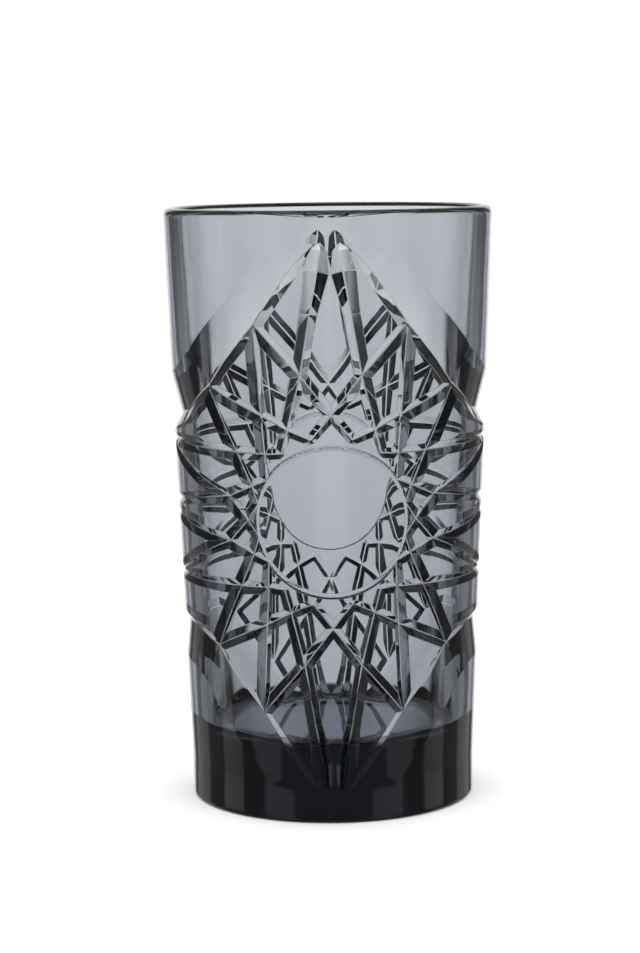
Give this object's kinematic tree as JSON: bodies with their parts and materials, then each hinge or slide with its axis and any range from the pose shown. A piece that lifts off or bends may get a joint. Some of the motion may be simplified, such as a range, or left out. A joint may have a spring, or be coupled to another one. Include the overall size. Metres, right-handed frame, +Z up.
{
  "type": "glass tumbler",
  "caption": "Tall flared tumbler of thick smoke-grey pressed glass, with a faceted star medallion and a plain round disc on its front and back.",
  "frame": {"origin": "centre of the foot's underside, on the glass's axis", "axes": "+Z up along the glass's axis towards the mouth; the two star medallions face -Y and +Y"},
  "size_m": [0.082, 0.082, 0.149],
  "materials": {
    "smoke_glass": "pressed and fire-polished, tinted smoke grey"
  },
  "bodies": {
    "root": {"foot": "smoke_glass", "star_wall": "smoke_glass", "rim": "smoke_glass"}
  },
  "joints": []
}
